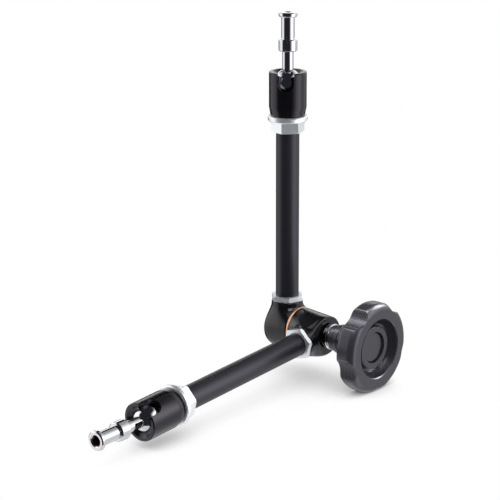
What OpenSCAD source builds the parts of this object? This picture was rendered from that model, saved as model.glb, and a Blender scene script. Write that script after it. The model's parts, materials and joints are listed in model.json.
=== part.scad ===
// Articulating friction arm. Two tubular arms turn on one elbow, and each ends in a ball head
// that carries a standard spigot. A single knob draws a bolt through the elbow: it clamps the
// friction washer, and two wedge cones on the bolt press a rod up each tube against its ball.
// Units are millimetres. The origin is the middle of the lower spigot's waist, where a clamp's
// screw bears, +X runs along the elbow's axis towards the knob and +Z runs up the upper arm.

/* [Arms] */
// Distance from the elbow's axis to the flanged nut of each arm
nut_reach = 173.5; // [120:0.5:240]
// Outer diameter of the tubes
tube_d = 20; // [18:0.5:21]
// Wall thickness of the tubes
tube_wall = 2; // [1.5:0.25:3]
// Distance from the friction plane to the centreline of the upper arm
upper_offset = 14.7; // [14.5:0.1:18]
// Distance from the friction plane to the centreline of the lower arm
lower_offset = 21.2; // [20:0.1:26]
// Slope of the lower arm below level, in degrees
arm_slope = 3.9; // [0:0.1:15]

/* [Spigots] */
// Diameter of the spigot's two lands
spigot_d = 15.8; // [15.2:0.1:16]
// Diameter of the waist that a clamp screw bears on
waist_d = 11.3; // [10.5:0.1:13]
// Diameter of the neck between the spigot and its ball
neck_d = 9.6; // [8:0.1:10.4]
// Length of the land at the spigot's tip
tip_land = 4; // [3:0.1:8]
// Length of the waist
waist_len = 18.5; // [12:0.5:24]
// Length of the land at the spigot's root
root_land = 10.4; // [6:0.1:14]
// Distance from the ball's centre to the root land
neck_reach = 27; // [20:0.1:32]
// Chamfer on the edges of the lands
land_chamfer = 0.9; // [0.3:0.1:1.5]
// How far the lower spigot leans towards its housing's slot, in degrees
lower_lean = 4.3; // [0:0.1:20]
// Diameter of the threaded hole in the lower spigot
lower_hole_d = 8.5; // [6:0.1:9]
// Diameter of the threaded hole in the upper spigot
upper_hole_d = 5.5; // [4:0.1:9]
// Depth of both threaded holes
hole_depth = 12; // [8:0.5:20]
// Width of the countersink round each threaded hole
countersink = 0.8; // [0.4:0.1:1.2]
// Diameter of the shank that holds the ball on the spigot
shank_d = 7; // [5:0.5:7.5]
// Length of the shank inside the ball
shank_len = 12; // [8:0.5:14]

/* [Ball heads] */
// Outer diameter of the ball housing
housing_d = 32; // [31:0.5:36]
// Thickness of the housing's wall beside the ball
housing_wall = 4; // [3:0.5:6]
// Step in from the housing to its root, where it meets its flanged nut
root_step = 1.4; // [0:0.1:2]
// Length over which the housing tapers to its root
housing_taper = 7.5; // [4:0.5:12]
// Length of the housing
housing_len = 37.7; // [36:0.1:44]
// Depth of the ball's centre below the housing's rim
ball_depth = 9.9; // [9:0.1:11]
// How far the lip that keeps the ball in reaches over it
lip = 2; // [1.5:0.1:2.5]
// Width of the mouth's bevel
bevel_w = 3; // [2:0.1:4]
// Chamfer on the rim's outer edge
rim_chamfer = 0.8; // [0.3:0.1:1.5]
// Width of the slot that lets the spigot fold sideways
slot_w = 14.2; // [12:0.1:15]
// How far the slot's rounded end lies above the ball's centre
slot_rise = 2; // [0:0.1:2.1]
// Direction of the upper slot round its arm, in degrees from +X
upper_slot_turn = -58; // [-180:1:180]
// Direction of the lower slot round its arm, in degrees from +X towards the top
lower_slot_turn = 58; // [-180:1:180]
// Distance from the ball's centre down to the upper edge of its seat
seat_drop = 6.4; // [6.3:0.1:8]
// Room between the seat and the nut's boss, for the push rod's head and its travel
seat_room = 3.4; // [3.2:0.1:5]
// Share of the length left behind the ball that the boss's thread takes, the seat has the rest
thread_share = 5 / 12;

/* [Nuts] */
// Width across the flats of both hexagon nuts
hex_af = 25.2; // [23.5:0.1:26]
// Height of the flanged nut's hexagon
hex_h = 9.5; // [6:0.1:14]
// How far the flanged nut's flange stands out round the housing
flange_lap = 1; // [0.5:0.1:2]
// Thickness of the flange
flange_t = 4.5; // [2:0.1:6]
// Thickness of the housing's wall round the nut's threaded boss
thread_wall = 1.6; // [1.2:0.1:3]
// How far the tube runs into that boss
tube_lap = 2.5; // [1:0.1:4]
// Height of the thin nut that locks each tube in its elbow
jam_h = 4.2; // [3:0.1:6]
// Turns of the four hexagon nuts round their arms, in degrees from +X
lower_jam_turn = 14; // [0:1:60]
upper_jam_turn = 15; // [0:1:60]
lower_flange_turn = 12; // [0:1:60]
upper_flange_turn = 48; // [0:1:60]
// Chamfer on the corners of the hexagons
hex_chamfer = 0.8; // [0.4:0.1:1.4]

/* [Elbow] */
// Radius of the elbows where they meet the friction washer
elbow_r = 19; // [18:0.1:21]
// Radius of the lower elbow's flat end face
elbow_end_r = 16.2; // [16:0.1:18]
// Distance from the friction plane to the lower elbow's end face
elbow_end = 31.5; // [30:0.1:36]
// Distance from the friction plane to the upper elbow's rounded back
elbow_back = 30.5; // [27:0.1:33]
// Radius of the upper elbow's back before it is rounded
back_r = 18.5; // [17:0.1:19]
// Radius that rounds the upper elbow's back edge
back_round = 8; // [4:0.5:9]
// How far the upper elbow's back hangs below the elbow's axis
back_drop = 1.5; // [0:0.1:3]
// Radius of the lower elbow's shoulder under its neck
shoulder_r = 18; // [17:0.1:19]
// Distance from the elbow's axis to the middle of that shoulder
shoulder_reach = 4.5; // [0:0.1:6]
// Distance from the elbow's axis to the top of the upper elbow's neck
upper_neck = 24; // [23:0.5:32]
// Distance from the elbow's axis to the top of the lower elbow's neck
lower_neck = 27; // [23:0.5:32]
// Radius of the elbow's neck
neck_r = 13.6; // [13:0.1:13.8]
// Length over which the neck is straight
neck_straight = 5.5; // [3:0.1:8]
// Depth of the threaded socket for the tube
socket_depth = 7.8; // [6:0.1:8.4]
// Thickness of the copper friction washer
washer_t = 1.6; // [1:0.1:3]
// Width of the light chamfer round the elbows' rims
elbow_chamfer = 0.6; // [0.3:0.1:1]

/* [Lock] */
// Diameter of the draw bolt
bolt_d = 11.8; // [10:0.1:11.9]
// Diameter of the bolt's head
bolt_head_d = 17; // [15:0.5:20]
// Height of the bolt's head
bolt_head_h = 2.1; // [1.5:0.1:2.4]
// Radius of the wedge cones at their large end
wedge_r = 12; // [11:0.1:12.4]
// Radius of the wedge cones where the centre of a push rod meets them
wedge_mid_r = 7.8; // [7.5:0.1:8.2]
// Radius of the wedge cones' noses
nose_r = 7; // [6.6:0.1:7.2]
// Length of the upper cone's cylindrical land
upper_wedge_land = 2.3; // [2.2:0.1:3]
// Distance from the centre of a push rod to the end of the cone's nose
nose_reach = 3.7; // [2:0.1:5]
// Length of the lower cone's cylindrical land
lower_wedge_land = 1.8; // [1:0.1:2.5]
// Thickness of the wall that closes the lower elbow's chamber
end_wall = 3.3; // [2.5:0.1:4]
// Radius of the sleeve that carries the knob's thrust through that wall
sleeve_r = 9; // [8:0.1:10]
// How far the sleeve stands out of the elbow's end face
sleeve_proud = 1.5; // [1:0.1:3]
// Radius of the thrust washer
thrust_r = 11.3; // [10:0.1:12]
// Thickness of the thrust washer
thrust_t = 3.8; // [3:0.1:6]
// Radius of the spring washer
spring_r = 10.4; // [9:0.1:12]
// Thickness of the spring washer
spring_t = 1.8; // [1:0.1:3]
// Diameter of the push rods
rod_d = 8; // [6:0.5:10]
// Diameter of the push rods' heads
rod_head_d = 13; // [10:0.5:15]
// Height of those heads
rod_head_h = 2.4; // [1.5:0.1:3]
// Radius of the flat at the tip of each push rod
rod_tip_r = 0.8; // [0.4:0.1:1.5]
// Lead of the bolt's thread
thread_lead = 1.5; // [1:0.25:2]

/* [Knob] */
// Radius over the knob's lobes
knob_r = 38.7; // [36:0.1:44]
// Number of lobes
lobes = 5; // [4:1:8]
// Radius of the knob at the bottom of a scallop
scallop_low_r = 33.8; // [32:0.1:36]
// Radius of the arc that cuts a scallop
scallop_r = 16; // [12:0.5:20]
// Direction of the first scallop round the knob's axis, in degrees from +Y towards +Z
scallop_turn = 343; // [0:1:360]
// Radius that rounds the lobes' corners
lobe_round = 3.5; // [1:0.5:5]
// Length of the knob from its stem's end to the front of its lobes
knob_len = 45.3; // [43:0.1:52]
// Thickness of the knob's rim
rim_t = 15.5; // [12:0.5:18]
// Radius that rounds the rim's back edge
rim_round = 3.5; // [1:0.5:5]
// Radius that rounds the lobes into the knob's face
face_round = 6; // [2:0.5:8]
// Radius of the dish in the knob's face
dish_r = 25.4; // [23:0.1:28]
// How far the knob's face rises from its lobes to the lip of the dish
face_rise = 2.2; // [0:0.1:5]
// Depth of the dish below the front of the lobes
dish_depth = 9.5; // [6:0.5:10]
// Radius of the boss in the middle of the dish
boss_r = 17.8; // [16:0.1:19]
// How far the boss stays below the front of the lobes
boss_sink = 3; // [2:0.5:6]
// Radius of the cap
cap_r = 13; // [12.6:0.1:14]
// Gap round the cap
cap_gap = 0.5; // [0.2:0.1:1]
// Thickness of the cap
cap_t = 2.4; // [2:0.1:4]
// How far the cap lies below the boss
cap_sink = 2; // [0:0.1:3]
// Radius of the first ring of the knob's stem
stem_r = 11.4; // [11:0.1:13]
// Radius of the second ring of the stem
stem_ring_r = 12.6; // [12:0.1:14]
// Length of the first ring of the stem
stem_len = 5.2; // [3:0.1:8]
// Length of the second ring of the stem
stem_ring_len = 4.3; // [3:0.1:8]
// Radius of the bell where it widens behind the rim
bell_wide = 30; // [24:0.5:32]
// Radius of the steel insert
insert_r = 8.6; // [8:0.1:9.6]
// Length of the steel insert
insert_len = 23.6; // [20:0.1:26]
// Width across the flats of the stop nut
stop_af = 17; // [16:0.5:19]
// Height of the stop nut
stop_h = 6; // [4:0.5:7]

/* [Clearances] */
// Radial clearance of a shaft or thread in its bore
fit_gap = 0.05; // [0.03:0.01:0.08]
// Radial clearance of the ball in its housing
ball_gap = 0.15; // [0.1:0.05:0.2]
// Clearance round a wedge cone or seat that slides in its bore
slide_gap = 0.2; // [0.1:0.05:0.3]

/* [Hidden] */
$fn = 96;
// Facets of the elbows' rings, of the knob's outline and of a scallop
elbow_facets = 64;
outline_facets = 120;
scallop_facets = 72;
// Turn between the points of a rounded edge and of the knob's bell, in degrees
round_step = 15;
bell_step = 9;

// Chamfer on the edges of the washers, the insert and the bolt's head
washer_edge = 0.4;
// Chamfer on the bolt's end, and how far that end stands out of the stop nut
bolt_tip = 0.5;
// Chamfer round the knob's cap
cap_edge = 0.8;
// Chamfer on the edges of the knob's rings and boss
knob_edge = 0.8;
// Radius of the bell where it leaves the stem
bell_r = stem_ring_r - knob_edge;
// How far the bell runs into the rim
bell_lap = 2;
// Length of the skirt behind the knob's cap
cap_skirt = 3;
// Width of the shelf that the knob's cap rests on
cap_shelf = 1.4;
// Radius of the well behind the knob's cap
well_r = cap_r - cap_shelf;

// Sizes inside a ball head that follow from its housing
ball_d = housing_d - 2 * housing_wall;
mouth_d = ball_d - 2 * lip;
bevel_d = mouth_d + 2 * bevel_w;
housing_root_d = housing_d - 2 * root_step;
boss_d = housing_root_d - 2 * thread_wall;
flange_d = housing_d + 2 * flange_lap;
head_room = housing_len - ball_depth - seat_drop - seat_room;
boss_len = head_room * thread_share;
seat_len = head_room - boss_len;

// Stations along an arm, measured from the elbow's axis
hex_low = nut_reach;
flange_low = hex_low + hex_h;
head_low = flange_low + flange_t;
rim_top = head_low + housing_len;
ball_at = rim_top - ball_depth;
root_at = ball_at + neck_reach;
waist_at = root_at + root_land;
tip_at = waist_at + waist_len;
arm_reach = tip_at + tip_land;
grip_at = waist_at + waist_len / 2;
seat_top = ball_at - seat_drop;
seat_low = seat_top - seat_len;
tube_high = head_low + tube_lap;

// Radii that follow from the sizes above
tube_r = tube_d / 2;
tube_bore_r = tube_r - tube_wall;
ball_r = ball_d / 2;
ball_space_r = ball_r + ball_gap;
seat_bore_r = ball_r + slide_gap;
neck_half = neck_d / 2;
ball_flat = sqrt(pow(ball_r, 2) - pow(neck_half, 2));
lip_rise = sqrt(pow(ball_space_r, 2) - pow(mouth_d / 2, 2));
bolt_r = bolt_d / 2;
bolt_hole_r = bolt_r + fit_gap;
wedge_bore_r = wedge_r + slide_gap;
wedge_run = wedge_r - wedge_mid_r;

// Stations along the elbow's axis, measured from the friction plane
face_x = washer_t / 2;
slack = thread_lead / 2;
upper_wedge_back = -upper_offset - wedge_run - upper_wedge_land;
thrust_x = elbow_end + sleeve_proud;
spring_x = thrust_x + thrust_t;
stem_x = spring_x + spring_t + fit_gap;
knob_face_x = stem_x + knob_len;
rim_back_x = knob_face_x - rim_t;
lip_x = knob_face_x + face_rise;
boss_x = knob_face_x - boss_sink;
dish_x = knob_face_x - dish_depth;
cap_top_x = boss_x - cap_sink;
cap_x = cap_top_x - cap_t;
ring_low = stem_x + stem_len;
bell_low = ring_low + stem_ring_len;
insert_end_x = stem_x + insert_len;
stop_x = insert_end_x + thread_lead + 2 * fit_gap;
bolt_end_x = stop_x + stop_h + bolt_tip;

// Where the middle of the lower spigot's waist lies, from the elbow's axis
grip_out = grip_at - ball_at;
grip_side = grip_out * sin(lower_lean);
grip_up = ball_at + grip_out * cos(lower_lean);
grip_y = grip_side * sin(lower_slot_turn);
grip_place = [
    lower_offset + grip_side * cos(lower_slot_turn),
    -grip_y * sin(arm_slope) - grip_up * cos(arm_slope),
    grip_y * cos(arm_slope) - grip_up * sin(arm_slope)
];

// How far a cut runs past the solid that it opens
cut = 1;

// Places: the pivot frame has its origin on the elbow's axis in the friction plane
module in_row() {
    translate(-grip_place) children();
}
module on_lower_arm() {
    in_row() translate([lower_offset, 0, 0]) rotate([90 + arm_slope, 0, 0]) children();
}
// The lower spigot and its ball lean together towards the slot
module on_lower_spigot() {
    on_lower_arm() translate([0, 0, ball_at]) rotate([0, 0, lower_slot_turn]) rotate([0, lower_lean, 0])
        rotate([0, 0, -lower_slot_turn]) translate([0, 0, -ball_at]) children();
}
module on_upper_arm() {
    in_row() translate([-upper_offset, 0, 0]) children();
}
// Turns a shape made along +Z so that it runs along +X from the given station
module along_axis(x) {
    translate([x, 0, 0]) rotate([0, 90, 0]) children();
}
// A disc or ring between two stations on an axis
module turned(low, high, r, hole = 0, edge = 0) {
    rotate_extrude() polygon([
        [hole, low], [r - edge, low], [r, low + edge], [r, high - edge], [r - edge, high], [hole, high]
    ]);
}
// A hexagon whose corners are turned off
module hexagon(low, high, flats, chamfer) {
    corner_r = flats / sqrt(3);
    intersection() {
        translate([0, 0, low]) cylinder(h = high - low, r = corner_r, $fn = 6);
        turned(low, high, corner_r, 0, chamfer);
    }
}

// Spigot: turned in one piece with its neck and the shank that goes into the ball
module stud(hole_d) {
    land_r = spigot_d / 2;
    waist_r = waist_d / 2;
    shank_r = shank_d / 2;
    neck_low = ball_at + ball_flat + fit_gap;
    color("gainsboro") difference() {
        rotate_extrude() polygon([
            [0, neck_low - shank_len], [shank_r, neck_low - shank_len], [shank_r, neck_low],
            [neck_half, neck_low], [neck_half, root_at],
            [land_r - land_chamfer, root_at], [land_r, root_at + land_chamfer],
            [land_r, waist_at - land_chamfer], [land_r - land_chamfer, waist_at],
            [waist_r, waist_at], [waist_r, tip_at],
            [land_r - land_chamfer, tip_at], [land_r, tip_at + land_chamfer],
            [land_r, arm_reach - land_chamfer], [land_r - land_chamfer, arm_reach], [0, arm_reach]
        ]);
        translate([0, 0, arm_reach - hole_depth]) cylinder(h = hole_depth + cut, d = hole_d);
        translate([0, 0, arm_reach - countersink])
            cylinder(h = countersink + cut, r1 = hole_d / 2, r2 = hole_d / 2 + countersink + cut);
    }
}

// Ball: flattened where the neck shoulders on it, and bored for the shank
module ball() {
    color("silver") translate([0, 0, ball_at]) difference() {
        sphere(r = ball_r);
        translate([0, 0, ball_flat]) cylinder(h = ball_r, r = ball_r);
        translate([0, 0, ball_flat - shank_len - slide_gap])
            cylinder(h = shank_len + ball_r, r = shank_d / 2 + fit_gap);
    }
}

// Ball housing: bored from below, closed over the ball by a lip, and slotted down one side
module housing(slot_turn) {
    housing_r = housing_d / 2;
    slot_r = slot_w / 2;
    color([0.09, 0.09, 0.1]) difference() {
        rotate_extrude() polygon([
            [0, head_low], [housing_root_d / 2, head_low], [housing_r, head_low + housing_taper],
            [housing_r, rim_top - rim_chamfer], [housing_r - rim_chamfer, rim_top], [0, rim_top]
        ]);
        translate([0, 0, head_low - cut])
            cylinder(h = boss_len + slide_gap + cut, r = boss_d / 2 + fit_gap);
        translate([0, 0, head_low]) cylinder(h = ball_at - head_low, r = seat_bore_r);
        translate([0, 0, ball_at]) sphere(r = ball_space_r);
        translate([0, 0, ball_at]) cylinder(h = ball_depth + cut, r = mouth_d / 2);
        translate([0, 0, ball_at + lip_rise])
            cylinder(h = ball_depth - lip_rise, d1 = mouth_d, d2 = bevel_d);
        translate([0, 0, ball_at + slot_rise]) rotate([0, 0, slot_turn]) {
            rotate([0, 90, 0]) cylinder(h = housing_r + cut, r = slot_r);
            translate([0, -slot_r, 0]) cube([housing_r + cut, slot_w, ball_depth + cut]);
        }
    }
}

// Seat: a cup that the push rod presses against the ball
module ball_seat() {
    color("goldenrod") difference() {
        translate([0, 0, seat_low]) cylinder(h = seat_len, r = ball_r + slide_gap / 2);
        translate([0, 0, ball_at]) sphere(r = ball_r + slide_gap / 2);
    }
}

// Flanged nut: joins tube and housing
module flange_nut() {
    color("lightgray") difference() {
        union() {
            hexagon(hex_low, flange_low, hex_af, hex_chamfer);
            turned(flange_low - hex_chamfer, flange_low + cut, hex_af / 2 - hex_chamfer);
            turned(flange_low, head_low, flange_d / 2, 0, hex_chamfer);
            turned(head_low - cut, head_low + boss_len, boss_d / 2, 0, hex_chamfer);
        }
        translate([0, 0, hex_low - cut]) cylinder(h = tube_high - hex_low + cut, r = tube_r + fit_gap);
        translate([0, 0, hex_low]) cylinder(h = head_low + boss_len, r = tube_bore_r);
    }
}

module tube(neck) {
    tube_low = neck - socket_depth;
    color([0.13, 0.13, 0.14]) difference() {
        translate([0, 0, tube_low]) cylinder(h = tube_high - tube_low, r = tube_r);
        translate([0, 0, tube_low - cut]) cylinder(h = tube_high - tube_low + 2 * cut, r = tube_bore_r);
    }
}

// Push rod: its pointed end rides on a wedge cone, and its head pushes the seat
module push_rod() {
    rod_r = rod_d / 2;
    tip = wedge_mid_r + rod_tip_r + sqrt(2) * fit_gap;
    color("dimgray") rotate_extrude() polygon([
        [0, tip], [rod_tip_r, tip], [rod_r, tip + rod_r - rod_tip_r],
        [rod_r, seat_low - rod_head_h], [rod_head_d / 2, seat_low - rod_head_h],
        [rod_head_d / 2, seat_low], [0, seat_low]
    ]);
}

module jam_nut(neck) {
    color("lightgray") difference() {
        hexagon(neck, neck + jam_h, hex_af, hex_chamfer);
        translate([0, 0, neck - cut]) cylinder(h = jam_h + 2 * cut, r = tube_r + fit_gap);
    }
}

// What both castings have inside their necks: a socket for the tube and a bore for the rod
module neck_bores(neck) {
    translate([0, 0, neck - socket_depth]) cylinder(h = socket_depth + cut, r = tube_r + fit_gap);
    cylinder(h = neck, r = rod_d / 2 + slide_gap);
}
// Straight part of a casting's neck, chamfered round its top
module neck_ring(neck) {
    turned(neck - neck_straight, neck, neck_r, 0, elbow_chamfer);
}
// A disc about the elbow's axis between two stations
module disc(low, high, r_low, r_high) {
    along_axis(low) cylinder(h = high - low, r1 = r_low, r2 = r_high, $fn = elbow_facets);
}

// Lower elbow: the thrust of the knob passes through the wall behind its end face
module lower_elbow() {
    rim_x = elbow_end - elbow_chamfer;
    color([0.07, 0.07, 0.08]) on_lower_arm() difference() {
        union() {
            neck_ring(lower_neck);
            hull() {
                translate([0, 0, lower_neck - neck_straight])
                    cylinder(h = elbow_chamfer, r = neck_r, $fn = elbow_facets);
                translate([-lower_offset, 0, 0]) {
                    disc(face_x, face_x + elbow_chamfer, elbow_r - elbow_chamfer, elbow_r);
                    disc(face_x + elbow_chamfer, face_x + 2 * elbow_chamfer, elbow_r, elbow_r);
                    disc(rim_x, elbow_end, elbow_end_r + elbow_chamfer, elbow_end_r);
                    translate([0, 0, shoulder_reach])
                        disc(elbow_end / 2, rim_x - elbow_chamfer, shoulder_r, shoulder_r);
                }
            }
        }
        translate([-lower_offset, 0, 0]) {
            along_axis(0) cylinder(h = elbow_end - end_wall, r = wedge_bore_r);
            along_axis(0) cylinder(h = elbow_end + cut, r = sleeve_r + slide_gap);
            // Spot face: it cuts back the neck's root, which stands further out than the end face
            along_axis(elbow_end) cylinder(h = lower_offset, r = elbow_end_r);
        }
        neck_bores(lower_neck);
    }
}

// Upper elbow: closed and rounded at the back, open towards the friction washer
module upper_elbow() {
    front_x = -face_x - fit_gap;
    color([0.07, 0.07, 0.08]) on_upper_arm() difference() {
        union() {
            neck_ring(upper_neck);
            hull() {
                translate([0, 0, upper_neck - neck_straight])
                    cylinder(h = elbow_chamfer, r = neck_r, $fn = elbow_facets);
                translate([upper_offset, 0, 0]) {
                    disc(front_x - elbow_chamfer, front_x, elbow_r, elbow_r - elbow_chamfer);
                    disc(front_x - back_round, front_x - elbow_chamfer, elbow_r, elbow_r);
                    for (turn = [0:round_step:90]) {
                        ring_r = back_r - back_round * (1 - cos(turn));
                        ring_x = -elbow_back + back_round * (1 - sin(turn));
                        translate([0, 0, -back_drop]) disc(ring_x, ring_x + fit_gap, ring_r, ring_r);
                    }
                }
            }
        }
        translate([upper_offset, 0, 0])
            along_axis(upper_wedge_back - slack - slide_gap) cylinder(h = elbow_back, r = wedge_bore_r);
        neck_bores(upper_neck);
    }
}

module friction_washer() {
    color([0.72, 0.4, 0.22]) in_row() along_axis(0)
        turned(-face_x, face_x, elbow_r, wedge_bore_r + slide_gap, slide_gap);
}

module draw_bolt() {
    color("darkgray") in_row() along_axis(0) {
        turned(upper_wedge_back, upper_wedge_back + bolt_head_h, bolt_head_d / 2, 0, washer_edge);
        turned(upper_wedge_back + bolt_head_h / 2, bolt_end_x, bolt_r, 0, bolt_tip);
    }
}

// Wedge cone: its 45 degree flank turns the bolt's pull into the push rod's thrust
module wedge(land) {
    difference() {
        rotate_extrude() polygon([
            [0, -nose_reach], [nose_r, -nose_reach], [nose_r, nose_r - wedge_mid_r],
            [wedge_r, wedge_run], [wedge_r, wedge_run + land], [0, wedge_run + land]
        ]);
        translate([0, 0, -nose_reach - cut])
            cylinder(h = nose_reach + wedge_run + land + 2 * cut, r = bolt_hole_r);
    }
}
module upper_wedge() {
    color("slategray") in_row() difference() {
        translate([-upper_offset, 0, 0]) rotate([0, -90, 0]) wedge(upper_wedge_land);
        along_axis(upper_wedge_back - cut) cylinder(h = bolt_head_h + cut, r = bolt_head_d / 2 + fit_gap);
    }
}
// The lower cone has a sleeve that the knob's thrust washer bears on
module lower_wedge() {
    land_end = wedge_run + lower_wedge_land;
    color("slategray") in_row() along_axis(lower_offset) {
        wedge(lower_wedge_land);
        turned(land_end - cut, thrust_x - lower_offset, sleeve_r, bolt_hole_r, fit_gap);
    }
}

module thrust_washer() {
    color("whitesmoke") in_row() along_axis(0) turned(thrust_x, spring_x, thrust_r, bolt_hole_r, washer_edge);
}
module spring_washer() {
    color("whitesmoke") in_row() along_axis(0)
        turned(spring_x, spring_x + spring_t, spring_r, bolt_hole_r, washer_edge);
}

// Stop nut: locked on the end of the bolt, it keeps the knob from coming off
module stop_nut() {
    color("lightgray") in_row() along_axis(0) difference() {
        hexagon(stop_x, stop_x + stop_h, stop_af, hex_chamfer);
        translate([0, 0, stop_x - cut]) cylinder(h = stop_h + 2 * cut, r = bolt_hole_r);
    }
}

module knob_insert() {
    color("darkkhaki") in_row() along_axis(0)
        turned(stem_x, insert_end_x, insert_r, bolt_hole_r, washer_edge);
}

// Cap: a disc that closes the well over the stop nut, with a skirt that grips the well
module knob_cap() {
    color([0.25, 0.25, 0.26]) in_row() along_axis(0) {
        turned(cap_x, cap_top_x, cap_r, 0, cap_edge);
        turned(cap_x - cap_skirt, cap_x, well_r - fit_gap, well_r - cap_shelf, 0);
    }
}
// Outline of the rim: a circle scalloped between its lobes, with the lobes' corners rounded
module lobed_outline() {
    offset(r = lobe_round) offset(delta = -lobe_round) difference() {
        circle(r = knob_r, $fn = outline_facets);
        for (i = [0:lobes - 1]) rotate(scallop_turn + 360 / lobes * i)
            translate([scallop_low_r + scallop_r, 0]) circle(r = scallop_r, $fn = scallop_facets);
    }
}

// Knob: moulded with a ringed stem, a bell that widens to the scalloped rim, and a dished face
module knob() {
    bowl_r = boss_r + 2 * knob_edge;
    color([0.2, 0.2, 0.21]) in_row() along_axis(0) difference() {
        union() {
            turned(stem_x, ring_low, stem_r, 0, knob_edge);
            turned(ring_low - cut, ring_low + cut, stem_r - knob_edge);
            turned(ring_low, bell_low + cut, stem_ring_r, 0, knob_edge);
            // Bell: a quarter of an ellipse turned about the axis
            rotate_extrude() polygon(concat(
                [[0, rim_back_x + bell_lap], [0, bell_low]],
                [for (turn = [0:bell_step:90]) [
                    bell_r + (bell_wide - bell_r) * (1 - cos(turn)),
                    bell_low + (rim_back_x - bell_low) * sin(turn)
                ]],
                [[bell_wide, rim_back_x + bell_lap]]
            ));
            // Rim: the lobed outline with rounded edges, and a face that rises to the dish's lip
            intersection() {
                translate([0, 0, rim_back_x])
                    linear_extrude(height = rim_t + face_rise) rotate(90) lobed_outline();
                rotate_extrude() polygon(concat(
                    [[0, lip_x], [0, rim_back_x]],
                    [for (turn = [0:round_step:90]) [
                        knob_r - rim_round * (1 - sin(turn)), rim_back_x + rim_round * (1 - cos(turn))
                    ]],
                    [for (turn = [90:-round_step:0]) [
                        knob_r - face_round * (1 - sin(turn)), knob_face_x - face_round * (1 - cos(turn))
                    ]],
                    [[dish_r + knob_edge, lip_x]]
                ));
            }
        }
        // Dish: a bowl with the boss left standing in it
        rotate_extrude() polygon(concat(
            [
                [0, boss_x], [boss_r - knob_edge, boss_x], [boss_r, boss_x - knob_edge],
                [boss_r + knob_edge, dish_x + knob_edge]
            ],
            [for (turn = [0:round_step:90]) [
                bowl_r + (dish_r - bowl_r) * sin(turn),
                dish_x + (lip_x - knob_edge - dish_x) * (1 - cos(turn))
            ]],
            [[dish_r + knob_edge, lip_x], [dish_r + knob_edge, lip_x + cut], [0, lip_x + cut]]
        ));
        // Well for the stop nut, counterbored for the cap
        translate([0, 0, insert_end_x]) cylinder(h = boss_x, r = well_r);
        translate([0, 0, cap_x]) cylinder(h = boss_x, r = cap_r + cap_gap);
        translate([0, 0, stem_x - cut]) cylinder(h = insert_len + 2 * cut, r = insert_r + fit_gap);
    }
}

on_lower_spigot() stud(lower_hole_d);  // lower_stud
on_lower_spigot() ball();  // lower_ball
on_lower_arm() housing(lower_slot_turn);  // lower_housing
on_lower_arm() ball_seat();  // lower_ball_seat
on_lower_arm() rotate(lower_flange_turn) flange_nut();  // lower_flange_nut
on_lower_arm() tube(lower_neck);  // lower_tube
on_lower_arm() push_rod();  // lower_push_rod
on_lower_arm() rotate(lower_jam_turn) jam_nut(lower_neck);  // lower_jam_nut
lower_elbow();
friction_washer();
upper_elbow();
on_upper_arm() rotate(upper_jam_turn) jam_nut(upper_neck);  // upper_jam_nut
on_upper_arm() tube(upper_neck);  // upper_tube
on_upper_arm() push_rod();  // upper_push_rod
on_upper_arm() rotate(upper_flange_turn) flange_nut();  // upper_flange_nut
on_upper_arm() housing(upper_slot_turn);  // upper_housing
on_upper_arm() ball_seat();  // upper_ball_seat
on_upper_arm() ball();  // upper_ball
on_upper_arm() stud(upper_hole_d);  // upper_stud
draw_bolt();
upper_wedge();
lower_wedge();
thrust_washer();
spring_washer();
stop_nut();
knob_insert();
knob_cap();
knob();
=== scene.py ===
# Articulating friction arm: the arm's solids get their real finishes. The castings' necks flow into
# their bodies, and the threads and the milled lines that plain solids can't show are added.
# Everything is in metres in the part's own frame. MM turns a drawing's millimetres into metres.
import json
import math

import bmesh
import bpy
import numpy as np
from mathutils import Matrix, Vector

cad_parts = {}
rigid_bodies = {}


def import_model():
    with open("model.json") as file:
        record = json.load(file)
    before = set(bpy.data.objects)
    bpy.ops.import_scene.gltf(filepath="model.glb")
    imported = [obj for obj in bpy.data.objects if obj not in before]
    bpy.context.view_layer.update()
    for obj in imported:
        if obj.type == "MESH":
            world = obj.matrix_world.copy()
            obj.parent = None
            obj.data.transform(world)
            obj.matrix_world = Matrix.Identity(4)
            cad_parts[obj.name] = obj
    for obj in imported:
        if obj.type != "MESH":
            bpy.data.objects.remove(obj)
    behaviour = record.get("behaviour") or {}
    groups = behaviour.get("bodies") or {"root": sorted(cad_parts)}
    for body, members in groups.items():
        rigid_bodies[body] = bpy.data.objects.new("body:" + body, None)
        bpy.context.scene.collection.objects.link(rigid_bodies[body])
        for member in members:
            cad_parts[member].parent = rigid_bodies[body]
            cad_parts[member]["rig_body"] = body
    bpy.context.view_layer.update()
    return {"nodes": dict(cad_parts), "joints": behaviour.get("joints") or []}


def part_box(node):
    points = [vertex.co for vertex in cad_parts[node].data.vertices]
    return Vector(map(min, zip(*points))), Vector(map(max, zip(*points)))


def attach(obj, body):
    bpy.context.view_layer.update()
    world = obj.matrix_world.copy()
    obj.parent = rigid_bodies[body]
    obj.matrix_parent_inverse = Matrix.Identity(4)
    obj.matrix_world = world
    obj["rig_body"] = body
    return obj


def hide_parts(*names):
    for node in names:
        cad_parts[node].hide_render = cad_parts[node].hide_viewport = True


MM = 0.001
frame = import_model()
scene = bpy.context.scene

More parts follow.
